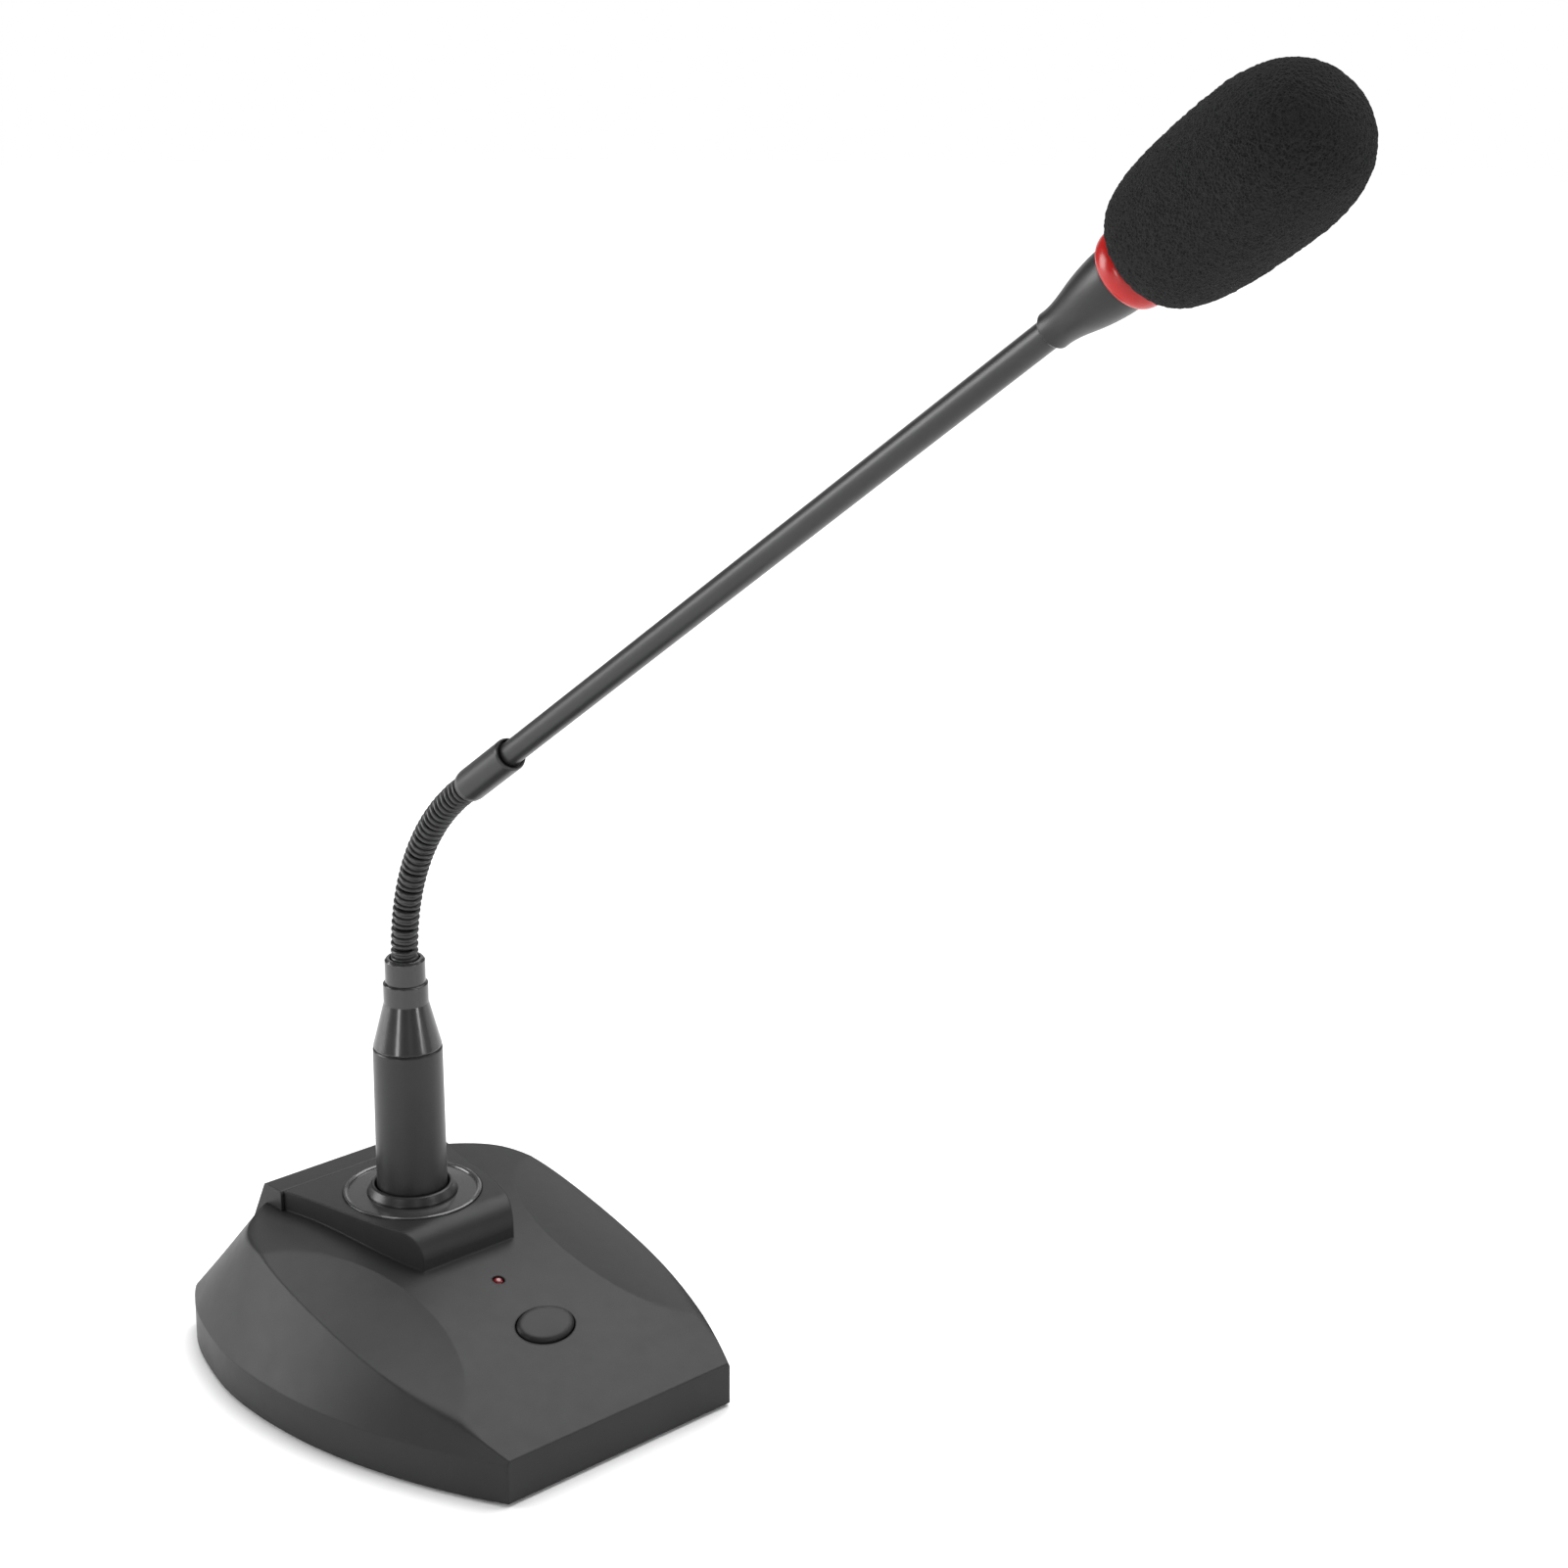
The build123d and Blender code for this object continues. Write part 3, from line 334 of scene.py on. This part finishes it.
def ring_material():
    """Translucent red diffuser of the light ring."""
    nodes = Nodes("ring_diffuser")
    nodes.colour(nodes.noise(160.0), (0.35, 0.006, 0.005), (0.4, 0.009, 0.008))
    nodes.set("Roughness", nodes.spread(nodes.noise(300.0, 2.0), 0.2, 0.28))
    nodes.set("Subsurface Weight", 0.12)
    nodes.set("Subsurface Radius", (1.0, 0.15, 0.1))
    nodes.set("Subsurface Scale", 0.002)
    nodes.set("Specular IOR Level", 0.35)
    nodes.bump(nodes.noise(900.0, 2.0), 0.01 * MM)
    return nodes.material


def led_material():
    """Glossy red lens of the power light."""
    nodes = Nodes("led_lens_red")
    nodes.colour(nodes.noise(900.0, 2.0), (0.1, 0.004, 0.006), (0.16, 0.006, 0.009))
    nodes.set("Roughness", nodes.spread(nodes.noise(700.0), 0.06, 0.14))
    nodes.set("Coat Weight", 0.5)
    return nodes.material


def foam_material():
    """Open-cell foam: painted shade in the sunken pore of each cell, between slightly lighter
    struts, with tone that varies at random in clumps.
    """
    nodes = Nodes("open_cell_foam")
    pore_depth_and_shade = nodes.cells(2000.0)
    clumps = nodes.noise(1200.0, 4.0, 0.7)
    height = nodes.math("ADD", pore_depth_and_shade, clumps)
    # painted shade: the colour darkens toward the middle of each cell, where the bump sinks the
    # surface, and also varies at random with the clumps
    nodes.colour(height, grey(0.004), grey(0.019), start=0.45, end=1.0)
    nodes.set("Roughness", nodes.spread(clumps, 0.9, 1.0))
    nodes.set("Specular IOR Level", 0.1)
    nodes.bump(height, 0.5 * MM, 0.9)
    return nodes.material


def make_materials():
    """Every finish by its short name.

    A grained one is given its dark and light colour, its roughness, and the width and depth of
    its grain in millimetres."""
    return {
        "housing": housing_material(),
        "button": grained("button_abs", grey(0.01), grey(0.013), 0.42, 0.3, 0.006,
                          specular=0.2, edge_mm=1.8),
        "neck": grained("neck_abs", grey(0.011), grey(0.014), 0.36, 0.3, 0.006,
                        specular=0.33, edge_mm=0.4),
        "paint": grained("satin_paint", grey(0.014), grey(0.018), 0.34, 0.25, 0.005,
                         specular=0.36, edge_mm=0.4),
        "gloss": grained("gloss_bezel", grey(0.03), grey(0.036), 0.24, 0.5, 0.001,
                         coat=0.3, edge_mm=0.4),
        "cone": grained("polished_cone", grey(0.018), grey(0.022), 0.24, 0.25, 0.003,
                        coat=0.2, edge_mm=0.4),
        "hose": grained("black_steel", grey(0.02), grey(0.028), 0.36, 0.2, 0.006, metal=0.2),
        "zinc": grained("zinc_plate", (0.5, 0.5, 0.5), (0.62, 0.62, 0.6), 0.3, 0.2, 0.004,
                        metal=1.0),
        "iron": grained("ballast_iron", grey(0.05), grey(0.09), 0.7, 0.8, 0.08, metal=0.6),
        "rubber": grained("sole_rubber", grey(0.018), grey(0.024), 0.85, 0.5, 0.03),
        "board": grained("solder_resist", (0.01, 0.1, 0.04), (0.02, 0.14, 0.06),
                         0.25, 0.6, 0.01),
        "insert": grained("insert_nylon", grey(0.02), grey(0.026), 0.45, 0.3, 0.006),
        "brass": grained("gold_contact", (0.8, 0.58, 0.22), (0.9, 0.68, 0.3),
                         0.2, 0.3, 0.003, metal=1.0),
        "lead": grained("wire_sheath", grey(0.02), grey(0.03), 0.5, 0.4, 0.01),
        "can": grained("capsule_can", (0.6, 0.6, 0.6), (0.7, 0.7, 0.7),
                       0.25, 0.2, 0.003, metal=1.0),
        "ring": ring_material(),
        "led": led_material(),
        "foam": foam_material(),
    }


SLOT_LOOKS = {
    "housing_plastic": "housing", "button_plastic": "button", "bezel_gloss": "gloss",
    "painted_black": "paint", "black_steel": "hose", "zinc_steel": "zinc",
    "ballast_iron": "iron", "rubber_black": "rubber", "board_green": "board",
    "insert_plastic": "insert", "contact_brass": "brass", "lead_sheath": "lead",
    "led_red": "led", "ring_red": "ring", "capsule_metal": "can", "foam_black": "foam",
}
NODE_LOOKS = {"plug_cone": "cone", "ferrule": "cone", "flared_neck": "neck"}


def dress_cad_nodes(looks):
    """Give every CAD node the finish of its material slot, or its own where it has one."""
    for part in frame["record"]["subparts"]:
        look = NODE_LOOKS.get(part["node"], SLOT_LOOKS[part["material_slot"]])
        for place in frame["nodes"][part["node"]].material_slots:
            place.material = looks[look]


# ---------------------------------------------------------------- pieces remade for their looks
def revolved(name, profile, centre, axis, segments, ring=False):
    """Closed solid of revolution of (radius, height) points in metres.

    Both ends of the profile lie on the axis, unless it closes on itself as a ring."""
    turn = Vector((0, 0, 1)).rotation_difference(axis)
    shape = bmesh.new()
    rows = []
    for radius, height in profile:
        angles = [2 * pi * k / segments for k in range(segments if radius > 0 else 1)]
        rows.append([
            shape.verts.new(centre + turn @ Vector((radius * cos(a), radius * sin(a), height)))
            for a in angles
        ])
    for low, high in zip(rows, rows[1:] + rows[:1] if ring else rows[1:]):
        for k in range(segments):
            corners = (low[k % len(low)], low[(k + 1) % len(low)],
                       high[(k + 1) % len(high)], high[k % len(high)])
            shape.faces.new(list(dict.fromkeys(corners)))
    bmesh.ops.recalc_face_normals(shape, faces=shape.faces)
    mesh = bpy.data.meshes.new(name)
    shape.to_mesh(mesh)
    shape.free()
    mesh.shade_smooth()
    return add_object(name, mesh)


def bezier(points, steps):
    """Points along a cubic curve, with the first and without the last."""
    p0, p1, p2, p3 = (Vector(p) for p in points)
    found = []
    for k in range(steps):
        t = k / steps
        start_half = p0 * (1 - t) ** 3 + p1 * 3 * t * (1 - t) ** 2
        found.append(start_half + p2 * 3 * t * t * (1 - t) + p3 * t ** 3)
    return found


def ring_centre():
    """Middle of the light ring, on the arm's axis."""
    low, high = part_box("light_ring")
    return (low + high) / 2


def make_ring(looks):
    """Rounded translucent band; the CAD ring has a plain section."""
    outline = []
    for k in range(RING_STEPS + 1):
        angle = -pi / 2 + pi * k / RING_STEPS
        radius = RING_RIM_R + RING_SWELL * max(cos(angle), 0) ** RING_FULLNESS
        outline.append((radius * MM, RING_HALF * sin(angle) * MM))
    outline += [(RING_BORE_R * MM, RING_HALF * MM), (RING_BORE_R * MM, -RING_HALF * MM)]
    ring = revolved(
        "light_ring_soft", outline, ring_centre(), ARM_AXIS, RING_SEGMENTS, ring=True
    )
    ring.data.set_sharp_from_angle(angle=radians(50))
    ring.data.materials.append(looks["ring"])
    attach(ring, "arm")
    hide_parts("light_ring")


def foam_outline():
    """Bore, tail and nose of the foam, as points of radius and station in millimetres."""
    bore = [
        Vector((BORE_R, BORE_FLOOR - (BORE_FLOOR - FOAM_START) * k / BORE_STEPS))
        for k in range(BORE_STEPS + 1)
    ]
    widest = (FOAM_R, FOAM_WIDEST)
    shoulder = (FOAM_R, FOAM_WIDEST - SHOULDER_LENGTH)
    tail = bezier(
        [(MOUTH_R, FOAM_START), (SHOULDER_R, FOAM_START), shoulder, widest], TAIL_STEPS
    )
    cheek = (FOAM_R, FOAM_WIDEST + NOSE_FULLNESS * (FOAM_END - FOAM_WIDEST))
    brow = (NOSE_FLATNESS * FOAM_R, FOAM_END)
    nose = bezier([widest, cheek, brow, (0, FOAM_END)], NOSE_STEPS)
    return [Vector((0, BORE_FLOOR))] + bore + tail + nose + [Vector((0, FOAM_END))]


def make_foam(looks):
    """Ball-nosed foam windscreen with an open-cell surface and its bore."""
    profile = [(p.x * MM, (p.y - RING_STATION) * MM) for p in foam_outline()]
    foam = revolved(
        "foam_windscreen_open_cell", profile, ring_centre(), ARM_AXIS, FOAM_SEGMENTS
    )
    roughen(foam)
    foam.data.materials.append(looks["foam"])
    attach(foam, "windscreen")
    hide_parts("foam_windscreen")


def roughen(foam):
    """Lift and sink the outside by the size of the foam's cells; the bore stays smooth."""
    mesh = foam.data
    centre = ring_centre()
    normals = [Vector(vertex.normal) for vertex in mesh.vertices]
    for vertex, normal in zip(mesh.vertices, normals):
        offset = vertex.co - centre
        height = offset.dot(ARM_AXIS)
        radial = (offset - ARM_AXIS * height).length
        if radial > BARE_R * MM or height > NOSE_START * MM:
            coarse = COARSE_HEIGHT * noise.noise(vertex.co * COARSE_SCALE)
            fine = FINE_HEIGHT * noise.noise(vertex.co * FINE_SCALE)
            vertex.co += normal * (coarse + fine - CELL_SINK) * MM
    mesh.update()


def make_hose_lead(looks):
    """The lead inside the gooseneck, in one short length for each link so that it bends."""
    pivots = [joint for joint in JOINTS if joint["name"].startswith("neck_")]
    places = [Vector(joint["pos_m"]) for joint in pivots]
    foot = Vector((0, 0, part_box("hose_lead")[0].z))
    tip = places[-1] + ARM_AXIS * ((places[1] - places[0]).length / 2 + LEAD_OVERHANG)
    bodies = ["plug"] + [joint["child"] for joint in pivots]
    for number, (low, high) in enumerate(zip([foot] + places, places + [tip])):
        along = (high - low).normalized()
        start = low + along * (LEAD_GAP if number else 0)
        reach = (high - start).length - (LEAD_GAP if high is not tip else 0)
        outline = [(0, 0), (LEAD_R, 0), (LEAD_R, reach), (0, reach)]
        if number:
            waist = [(LEAD_WAIST_R, 0), (LEAD_WAIST_R, WAIST_END), (LEAD_R, WAIST_SHOULDER)]
            outline[1:2] = waist
        length = revolved(f"hose_lead_{number:02d}", outline, start, along, LEAD_SEGMENTS)
        length.data.set_sharp_from_angle(angle=radians(40))
        length.data.materials.append(looks["lead"])
        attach(length, bodies[number])
        if number == 0:
            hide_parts("hose_lead")


make_camera()
make_floor()
make_world()
make_overhead_light()
for softbox in SOFTBOXES:
    make_softbox(*softbox)
looks = make_materials()
dress_cad_nodes(looks)
make_ring(looks)
make_foam(looks)
make_hose_lead(looks)
